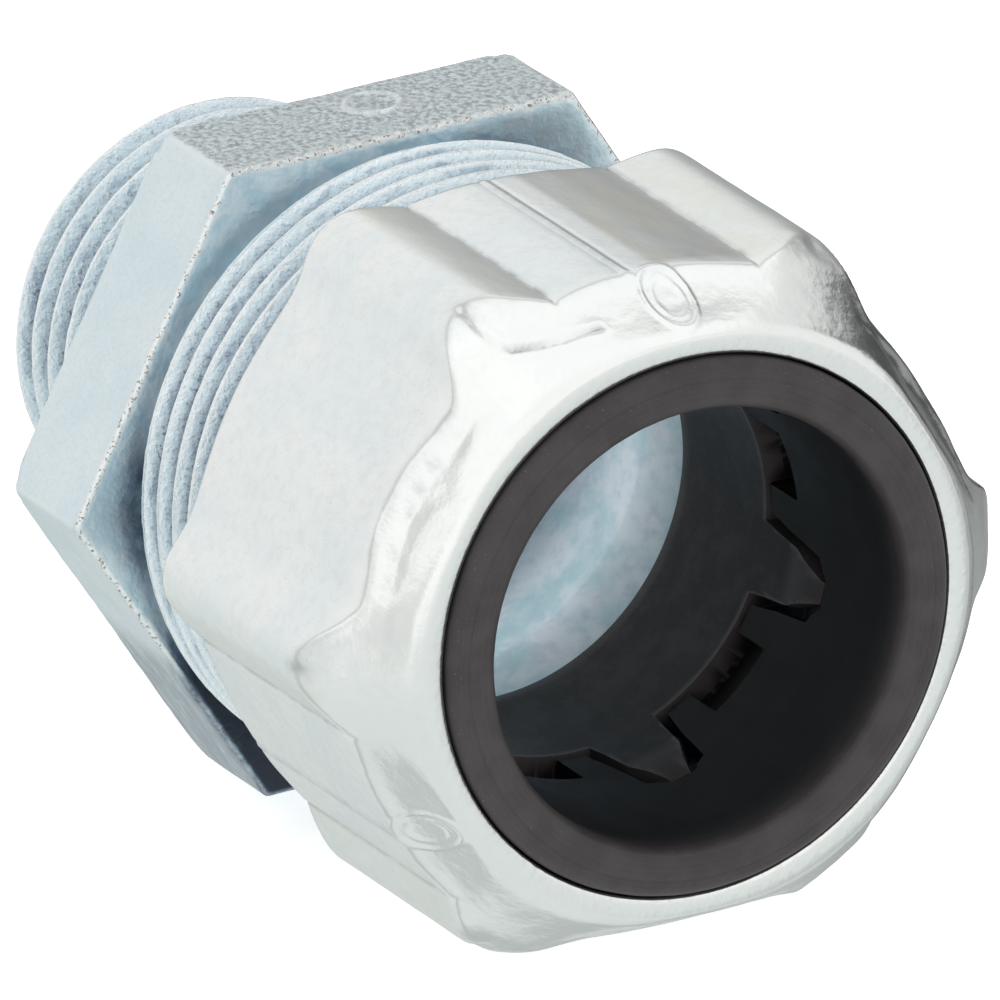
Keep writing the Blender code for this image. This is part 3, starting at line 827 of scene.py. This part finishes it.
def make_grip():
    skin = Skin(RING_ANGLES)
    for x, radius in GRIP_OUTSIDE:
        skin.row(x, radius, (0.4 if x > 27 else 0, 0, 0, 0))
    skin.rows((25.2 - i * 0.72, 10.75) for i in range(16))
    skin.row(13.6, 10.78, (0.3, 0, 0, 0))
    obj = skin.build("grip_steel")

    # gaps between the six front fingers, then the slit that opens the ring
    gap = [(20.2, 22.0), (22.4, 25.2), (28.6, 28.6)]
    subtract(obj, [sector(TAB0 + 30.0 + 60.0 * k, gap, 9.2, 14.0, steps=8)
                   for k in range(6)])
    half = math.degrees(0.8 / GRIP_RADIUS)
    subtract(obj, [sector(43.0, [(half, 12.0), (half, 29.0)], 9.4, 13.8, steps=1)])
    finish_mesh(obj.data, RING_SHARP, RING_MERGE)
    return obj


# ------------------------------------------------------------------ materials
class Nodes:
    """Short spelling for shader nodes."""

    def __init__(self, tree):
        self.tree = tree
        tree.nodes.clear()

    def add(self, kind, inputs=None, **settings):
        """A new node; inputs maps sockets to links or values."""
        node = self.tree.nodes.new("ShaderNode" + kind)
        for key, value in settings.items():
            setattr(node, key, value)
        for key, value in (inputs or {}).items():
            socket = node.inputs[key]
            if isinstance(value, bpy.types.NodeSocket):
                self.tree.links.new(value, socket)
            elif value is not None:
                socket.default_value = (*value, 1.0) if socket.type == 'RGBA' else value
        return node

    def math(self, operation, first, second, clamp=False):
        return self.add("Math", {0: first, 1: second}, operation=operation,
                        use_clamp=clamp).outputs[0]

    def times(self, first, second, clamp=False):
        return self.math("MULTIPLY", first, second, clamp)

    def plus(self, first, second):
        return self.math("ADD", first, second)

    def minus(self, first, second, clamp=False):
        return self.math("SUBTRACT", first, second, clamp)

    def most(self, first, second):
        return self.math("MAXIMUM", first, second)

    def weighted(self, base, *parts):
        """The base plus each (value, weight) part."""
        for value, weight in parts:
            base = self.plus(base, self.times(value, weight))
        return base

    def less(self, base, value, weight):
        return self.minus(base, self.times(value, weight))

    def vec(self, operation, first, second=None):
        node = self.add("VectorMath", {0: first, 1: second}, operation=operation)
        return node.outputs["Value" if operation in ("LENGTH", "DOT_PRODUCT") else 0]

    def ramp(self, value, lo, hi, at_lo=0.0, at_hi=1.0):
        return self.add("MapRange", {0: value, 1: lo, 2: hi, 3: at_lo, 4: at_hi},
                        interpolation_type='SMOOTHSTEP').outputs[0]

    def mix(self, factor, under, over, strength=None):
        if strength is not None:
            factor = self.times(factor, strength)
        return self.add("Mix", {0: factor, 6: under, 7: over}, data_type='RGBA',
                        clamp_factor=True).outputs[2]


class Finish(Nodes):
    """A material; point is the place in millimetres, masks the mesh's masks."""

    def __init__(self, name):
        self.material = bpy.data.materials.new(name)
        self.material.use_nodes = True
        super().__init__(self.material.node_tree)
        place = self.add("TexCoord").outputs["Object"]
        self.point = self.vec("MULTIPLY", place, (1000.0,) * 3)
        mask = self.add("Attribute", attribute_name="mask")
        split = self.add("SeparateColor", {0: mask.outputs["Color"]})
        self.masks = [*split.outputs[:3], mask.outputs["Alpha"]]

    def scaled(self, x, y, z):
        return self.vec("MULTIPLY", self.point, (x, y, z))

    def noise(self, scale, detail=2.0, rough=0.5, at=None, distort=0.0):
        return self.add("TexNoise", {
            "Vector": at or self.point, "Scale": scale, "Detail": detail,
            "Roughness": rough, "Distortion": distort}).outputs["Fac"]

    def bump(self, height, strength, distance, normal=None):
        return self.add("Bump", {"Height": height, "Strength": strength,
                                 "Distance": distance * MM, "Normal": normal}).outputs[0]

    def surface(self, **inputs):
        shader = self.add("BsdfPrincipled",
                          {key.replace("_", " "): value for key, value in inputs.items()})
        self.add("OutputMaterial", {"Surface": shader.outputs[0]})
        return self.material


def body_material():
    mat = Finish("zinc_body_finish")
    edge, grain, thread, shade_mask = mat.masks
    bore = mat.times(grain, -1.0, clamp=True)
    grain = mat.most(grain, 0.0)
    cloud = mat.noise(scale=0.28, detail=3.0, rough=0.55)
    blotch = mat.noise(scale=1.1, detail=4.0, rough=0.6)
    fine = mat.noise(scale=5.0, detail=3.0, rough=0.6)
    micro = mat.noise(scale=16.0)
    streak = mat.noise(scale=1.0, detail=4.0, rough=0.62, at=mat.scaled(1.7, 0.55, 0.55),
                       distort=0.5)
    # faces that look forward
    normal = mat.add("VectorTransform", {0: mat.add("NewGeometry").outputs["Normal"]},
                     vector_type='NORMAL', convert_from='WORLD', convert_to='OBJECT')
    ahead = mat.add("SeparateXYZ", {0: normal.outputs[0]}).outputs[0]
    front = mat.ramp(ahead, lo=0.75, hi=0.97)

    # clear blue passivation: pale where thin, teal where it pools
    tone = mat.mix(mat.ramp(cloud, lo=0.38, hi=0.66), (0.72, 0.80, 0.83), (0.66, 0.765, 0.81))
    tone = mat.mix(mat.ramp(blotch, lo=0.45, hi=0.72), tone, (0.75, 0.79, 0.80), strength=0.4)
    tone = mat.mix(mat.ramp(fine, lo=0.42, hi=0.68), tone, (0.50, 0.57, 0.60), strength=0.22)
    teal = mat.mix(mat.ramp(streak, lo=0.40, hi=0.62), (0.62, 0.80, 0.88), (0.84, 0.94, 0.97))
    tone = mat.mix(front, tone, teal, strength=0.85)
    tone = mat.mix(thread, tone, (0.76, 0.87, 0.93), strength=0.6)
    # painted shade, navy, in the roots and down the face, near black where deepest
    shade_amount = mat.times(shade_mask, mat.ramp(streak, lo=0.30, hi=0.60, at_lo=0.55), clamp=True)
    tone = mat.mix(shade_amount, tone, (0.055, 0.095, 0.16), strength=0.93)
    tone = mat.mix(mat.ramp(shade_mask, lo=1.05, hi=1.5), tone, (0.024, 0.028, 0.038), strength=0.88)
    # cast grain on the top flat
    cast = mat.noise(scale=3.1, detail=4.0, rough=0.64)
    cast_tone = mat.mix(mat.ramp(cast, lo=0.36, hi=0.62), (0.26, 0.29, 0.31),
                        (0.70, 0.76, 0.77))
    cast_tone = mat.mix(mat.ramp(blotch, lo=0.45, hi=0.8), cast_tone, (0.55, 0.61, 0.63))
    tone = mat.mix(grain, tone, cast_tone, strength=0.8)
    # blotches and speckle on the threads, off the worn crests
    unworn = mat.minus(1.0, edge, clamp=True)
    blotched = mat.times(mat.times(mat.ramp(streak, lo=0.50, hi=0.68), thread), unworn)
    tone = mat.mix(blotched, tone, (0.22, 0.32, 0.44), strength=0.55)
    speck = mat.ramp(mat.noise(scale=3.6, detail=4.0, rough=0.8), lo=0.53, hi=0.62)
    speck = mat.times(mat.times(speck, thread), mat.weighted(0.20, (shade_mask, 0.75)), clamp=True)
    tone = mat.mix(mat.times(speck, unworn), tone, (0.045, 0.06, 0.10))
    # inside the bore: bright, mottled
    mottle = mat.noise(scale=0.30, detail=4.0, rough=0.6, distort=0.2)
    bore_tone = mat.mix(mat.ramp(mottle, lo=0.36, hi=0.60), (0.60, 0.78, 0.83),
                        (0.88, 0.92, 0.97))
    bore_tone = mat.mix(mat.ramp(blotch, lo=0.48, hi=0.70), bore_tone, (0.52, 0.60, 0.74),
                        strength=0.30)
    tone = mat.mix(bore, tone, bore_tone)
    # worn edges, bright with brown-black pits; on the thread crests the bright colour is also a
    # painted highlight
    patchy = mat.ramp(fine, lo=0.40, hi=0.60, at_lo=0.2, at_hi=0.95)
    bright = mat.times(edge, mat.most(patchy, mat.times(thread, 0.95)), clamp=True)
    tone = mat.mix(bright, tone, mat.mix(thread, (0.93, 0.92, 0.89), (0.90, 0.95, 0.97)))
    spots = mat.ramp(mat.noise(scale=5.0, detail=4.0, rough=0.7), lo=0.52, hi=0.62)
    pit = mat.times(mat.times(mat.ramp(edge, lo=0.35, hi=0.9), spots), 0.85)
    pit = mat.times(pit, mat.less(1.0, thread, weight=0.9))
    tone = mat.mix(pit, tone, (0.13, 0.10, 0.09))

    rough = mat.weighted(0.26, (blotch, 0.20), (grain, 0.16), (thread, -0.08), (bore, 0.22))
    metal = mat.less(mat.less(0.94, bore, weight=0.60), front, weight=0.14)
    # fine surface, cast grain, thread, then the broad unevenness
    height = mat.plus(mat.times(fine, 0.5), mat.times(micro, 0.18))
    normal = mat.bump(height, strength=0.40, distance=0.03)
    normal = mat.bump(cast, mat.times(grain, 0.85), distance=0.11, normal=normal)
    normal = mat.bump(mat.noise(scale=3.6, detail=4.0, rough=0.7), mat.times(thread, 0.85),
                      distance=0.10, normal=normal)
    normal = mat.bump(blotch, mat.weighted(0.15, (front, 0.35)), distance=0.16, normal=normal)
    return mat.surface(Base_Color=tone, Metallic=metal, Roughness=rough, Normal=normal)


def nut_material():
    mat = Finish("bright_zinc_finish")
    edge, nose, groove, flank = mat.masks
    dim_reflection = mat.times(flank, -1.0, clamp=True)
    flank = mat.most(flank, 0.0)
    cloud = mat.noise(scale=0.22, detail=3.0, distort=0.6)
    warm = mat.noise(scale=0.55, detail=3.0, rough=0.55, at=mat.scaled(0.35, 1.0, 1.0),
                     distort=0.4)
    pink = mat.noise(scale=0.75, detail=3.0, rough=0.55,
                     at=mat.vec("ADD", mat.scaled(0.4, 1.0, 1.0), (31.0, 7.0, 3.0)))
    mid = mat.noise(scale=1.6, detail=4.0, rough=0.6)
    fine = mat.noise(scale=4.0, detail=3.0, rough=0.6)
    micro = mat.noise(scale=11.0, rough=0.6)

    # bright plating with faint warm, pink and grey clouds
    tone = mat.mix(mat.ramp(cloud, lo=0.4, hi=0.62), (0.84, 0.87, 0.865), (0.79, 0.845, 0.855))
    tone = mat.mix(mat.ramp(warm, lo=0.52, hi=0.72), tone, (0.86, 0.86, 0.82), strength=0.20)
    tone = mat.mix(mat.ramp(pink, lo=0.55, hi=0.75), tone, (0.84, 0.81, 0.84), strength=0.35)
    tone = mat.mix(mat.ramp(mid, lo=0.42, hi=0.70), tone, (0.72, 0.75, 0.75), strength=0.35)
    tone = mat.mix(mat.ramp(micro, lo=0.40, hi=0.70), tone, (0.58, 0.60, 0.60), strength=0.16)
    # the lobes' flanks, the painted darker reflection on half a side, and the nose
    tone = mat.mix(flank, tone, (0.74, 0.75, 0.69),
                   strength=mat.ramp(warm, lo=0.30, hi=0.62, at_lo=0.15, at_hi=0.6))
    reflection_grey = mat.mix(mat.ramp(warm, lo=0.40, hi=0.66), (0.58, 0.60, 0.59), (0.61, 0.61, 0.54))
    tone = mat.mix(dim_reflection, tone, reflection_grey, strength=0.94)
    tone = mat.mix(nose, tone, (0.87, 0.885, 0.865), strength=0.7)
    # grey spots, painted shade in the grooves and creases, and a darker rear edge
    spot = mat.times(mat.ramp(mat.noise(scale=2.4, detail=4.0, rough=0.7), lo=0.62, hi=0.74),
                     mat.less(1.0, nose, weight=0.8))
    tone = mat.mix(spot, tone, (0.50, 0.51, 0.51), strength=0.28)
    crease_shade = mat.times(groove, mat.ramp(mat.noise(scale=0.9), lo=0.36, hi=0.60, at_lo=0.45),
                     clamp=True)
    tone = mat.mix(crease_shade, tone, (0.16, 0.16, 0.16), strength=0.45)
    tone = mat.mix(edge, tone, (0.40, 0.39, 0.38),
                   strength=mat.ramp(fine, lo=0.45, hi=0.70, at_hi=0.45))

    rough = mat.weighted(0.17, (mid, 0.14), (nose, -0.04))
    # orange peel, finer grains, then scratches along the axis
    normal = mat.bump(mat.noise(scale=2.3), mat.weighted(0.14, (nose, 0.16)), distance=0.06)
    normal = mat.bump(fine, mat.weighted(0.16, (nose, 0.12)), distance=0.03, normal=normal)
    normal = mat.bump(micro, strength=0.16, distance=0.015, normal=normal)
    scratch = mat.noise(scale=6.0, at=mat.scaled(0.06, 1.0, 1.0))
    normal = mat.bump(scratch, strength=0.12, distance=0.02, normal=normal)
    return mat.surface(Base_Color=tone, Metallic=1.0, Roughness=rough, Normal=normal)


def seal_material():
    mat = Finish("black_elastomer_finish")
    edge, _, _, shade_mask = mat.masks
    # faint rings about the axis
    radius = mat.vec("LENGTH", mat.scaled(0, 1, 1))
    line = mat.add("CombineXYZ", {0: radius, 1: 0.0, 2: 0.0}).outputs[0]
    rings = mat.noise(scale=1.0, at=mat.vec("MULTIPLY", line, (9.0, 1.0, 1.0)))
    speck = mat.ramp(mat.noise(scale=9.0, detail=3.0, rough=0.7), lo=0.64, hi=0.72)
    cloud = mat.noise(scale=0.5, detail=3.0, rough=0.55)
    fine = mat.noise(scale=12.0, rough=0.6)

    # black rubber, paler rings, specks on the edges, and painted shade in the throat
    tone = mat.mix(mat.ramp(cloud, lo=0.35, hi=0.65), (0.031, 0.0265, 0.0275),
                   (0.041, 0.036, 0.037))
    tone = mat.mix(mat.ramp(rings, lo=0.5, hi=0.66), tone, (0.075, 0.068, 0.068),
                   strength=0.16)
    tone = mat.mix(mat.times(edge, speck), tone, (0.32, 0.29, 0.27), strength=0.7)
    tone = mat.mix(shade_mask, tone, (0.0035, 0.003, 0.0035), strength=0.97)
    height = mat.plus(mat.times(rings, 0.7), mat.times(fine, 0.5))
    return mat.surface(Base_Color=tone, Metallic=0.0,
                       Roughness=mat.weighted(0.44, (cloud, 0.16)),
                       Normal=mat.bump(height, strength=0.30, distance=0.03),
                       Specular_IOR_Level=mat.less(0.40, shade_mask, weight=0.22))


def grip_material():
    mat = Finish("black_oxide_finish")
    cloud = mat.noise(scale=0.6, detail=4.0, rough=0.6)
    fine = mat.noise(scale=7.0, detail=3.0, rough=0.6)
    x = mat.add("SeparateXYZ", {0: mat.point}).outputs[0]
    # clouded black, greyer towards the front and on the edges
    tone = mat.mix(mat.ramp(cloud, lo=0.38, hi=0.64), (0.0135, 0.0115, 0.0125),
                   (0.025, 0.0215, 0.0225))
    tone = mat.mix(mat.ramp(x, lo=24.2 - ORIGIN_X, hi=25.4 - ORIGIN_X), tone,
                   (0.07, 0.064, 0.066), strength=0.7)
    tone = mat.mix(mat.masks[0], tone, (0.14, 0.125, 0.125), strength=0.6)
    return mat.surface(Base_Color=tone, Metallic=0.5,
                       Roughness=mat.weighted(0.40, (fine, 0.2)),
                       Normal=mat.bump(fine, strength=0.3, distance=0.04))


# ------------------------------------------------------------------- assembly
body = make_body()
nut = make_nut()
seal = make_seal()
grip = make_grip()

for obj, material, rides, node in (
        (body, body_material(), "fitting_body", "body"),
        (nut, nut_material(), "nut", "gland_nut"),
        (seal, seal_material(), "rings", "seal_ring"),
        (grip, grip_material(), "rings", "grip_ring")):
    obj.data.materials.clear()
    obj.data.materials.append(material)
    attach(obj, rides)
    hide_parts(node)


# ---------------------------------------------------------------------- studio
def make_floor():
    """A pale, faintly glowing sheet just under the fitting, in metres."""
    z = cad_lo.z - 0.0004
    half = 3.0
    mesh = bpy.data.meshes.new("floor")
    mesh.from_pydata([(-half, -half, z), (half, -half, z), (half, half, z), (-half, half, z)],
                     [], [(0, 1, 2, 3)])
    obj = add_object("floor", mesh)
    material = bpy.data.materials.new("pale_floor")
    material.use_nodes = True
    shader = material.node_tree.nodes["Principled BSDF"]
    for key, value in {"Base Color": (0.90, 0.90, 0.90, 1), "Roughness": 0.9,
                       "Specular IOR Level": 0.0, "Emission Color": (1, 1, 1, 1),
                       "Emission Strength": 0.62}.items():
        shader.inputs[key].default_value = value
    mesh.materials.append(material)
    obj.visible_glossy = False


# Round patches of the surroundings: direction, then the angles from it, in
# degrees, where the patch fades out and where it is full, then its value.
SOFT_BOXES = [  # strength added
    ((0.25, -0.85, 0.46), 52, 26, 0.16),      # the camera's left
    ((0.10, 0.15, 1.0), 44, 24, 0.15),        # overhead
    ((0.93, -0.05, 0.36), 36, 16, 0.12)]      # in front
BACK_FLAG = ((-0.55, 0.83, -0.10), 44, 25, 0.50)   # factor; behind, to the right
FLAGS = [  # factor
    ((-0.55, 0.62, -0.56), 58, 30, 0.88),     # low, behind and to the right
    ((0.36, 0.77, -0.53), 34, 16, 0.72),      # low on the right
    ((0.0, 0.82, 0.57), 22, 10, 0.88),        # high on the right
    ((0.08, -0.99, 0.08), 24, 8, 0.75)]       # on the left


def make_world():
    world = bpy.data.worlds.new("studio")
    world.use_nodes = True
    sky = Nodes(world.node_tree)
    view = sky.add("TexCoord").outputs["Generated"]

    def along(direction):
        return sky.vec("DOT_PRODUCT", view, Vector(direction).normalized())

    def patch(direction, outer, inner, value, outside=0.0):
        return sky.ramp(along(direction), math.cos(math.radians(outer)),
                        math.cos(math.radians(inner)), outside, value)

    height = along((0, 0, 1))
    light = sky.ramp(height, lo=-0.6, hi=0.3, at_lo=0.84, at_hi=0.96)
    for box in SOFT_BOXES:
        light = sky.plus(light, patch(*box))
    light = sky.times(light, patch(*BACK_FLAG, outside=1.0))
    # a slanting dark strip on the right
    slant = along((-0.583, -0.278, 0.763))
    strip = sky.times(sky.ramp(slant, lo=-0.11, hi=-0.03),
                      sky.ramp(slant, lo=0.05, hi=0.13, at_lo=1.0, at_hi=0.0))
    strip = sky.times(strip, patch((-0.35, 0.93, 0.07), 40, 24, 0.80))
    light = sky.times(light, sky.minus(1.0, strip))
    for flag in FLAGS:
        light = sky.times(light, patch(*flag, outside=1.0))
    # the seam of the tent, a ring that edges and creases pick up
    seam = along((1, 0, 0))
    band = sky.times(sky.ramp(seam, lo=-0.60, hi=-0.46),
                     sky.ramp(seam, lo=-0.40, hi=-0.20, at_lo=1.0, at_hi=0.0))
    light = sky.times(light, sky.less(1.0, band, weight=0.30))
    # near white above, faintly green below
    below = sky.ramp(height, lo=-0.5, hi=0.1, at_lo=1.0, at_hi=0.0)
    tone = sky.mix(below, (1.0, 1.0, 0.995), (0.955, 1.0, 0.985))
    background = sky.add("Background", {"Color": tone, "Strength": light})
    sky.add("OutputWorld", {0: background.outputs[0]})
    bpy.context.scene.world = world


def make_fill():
    """A small lamp in the bore, for the light that comes in from the box end."""
    lamp = bpy.data.lights.new("bore_fill", 'SPOT')
    lamp.energy = 0.0052
    lamp.spot_size = math.radians(150.0)
    lamp.spot_blend = 0.4
    lamp.shadow_soft_size = 0.003
    lamp.color = (0.96, 1.0, 1.0)
    obj = add_object("bore_fill", lamp)
    obj.location = ((1.0 - ORIGIN_X) * MM, 0.0, 0.0)
    obj.rotation_euler = (0.0, -math.pi / 2.0, 0.0)
    obj.visible_camera = False
    obj.visible_glossy = False


def make_camera():
    """A long lens in front, above and to the -Y side."""
    camera = bpy.data.cameras.new("camera")
    obj = add_object("camera", camera)
    right = (0.46858411, 0.88194989, -0.05092458)
    up = (-0.30599598, 0.21611327, 0.92717933)
    back = (0.82873119, -0.41887879, 0.37114037)
    pose = Matrix((right, up, back)).transposed().to_4x4()
    # the place is fixed for an origin at X 10.2 and moves with the origin
    pose.translation = (0.795976 + (10.2 - ORIGIN_X) * MM, -0.399804, 0.354141)
    obj.matrix_world = pose
    camera.sensor_width = 36.0
    camera.lens = 720.06
    camera.clip_start, camera.clip_end = 0.05, 20.0
    bpy.context.scene.camera = obj


make_floor()
make_world()
make_fill()
make_camera()
bpy.context.scene.view_settings.view_transform = 'Standard'
bpy.context.scene.view_settings.look = 'None'
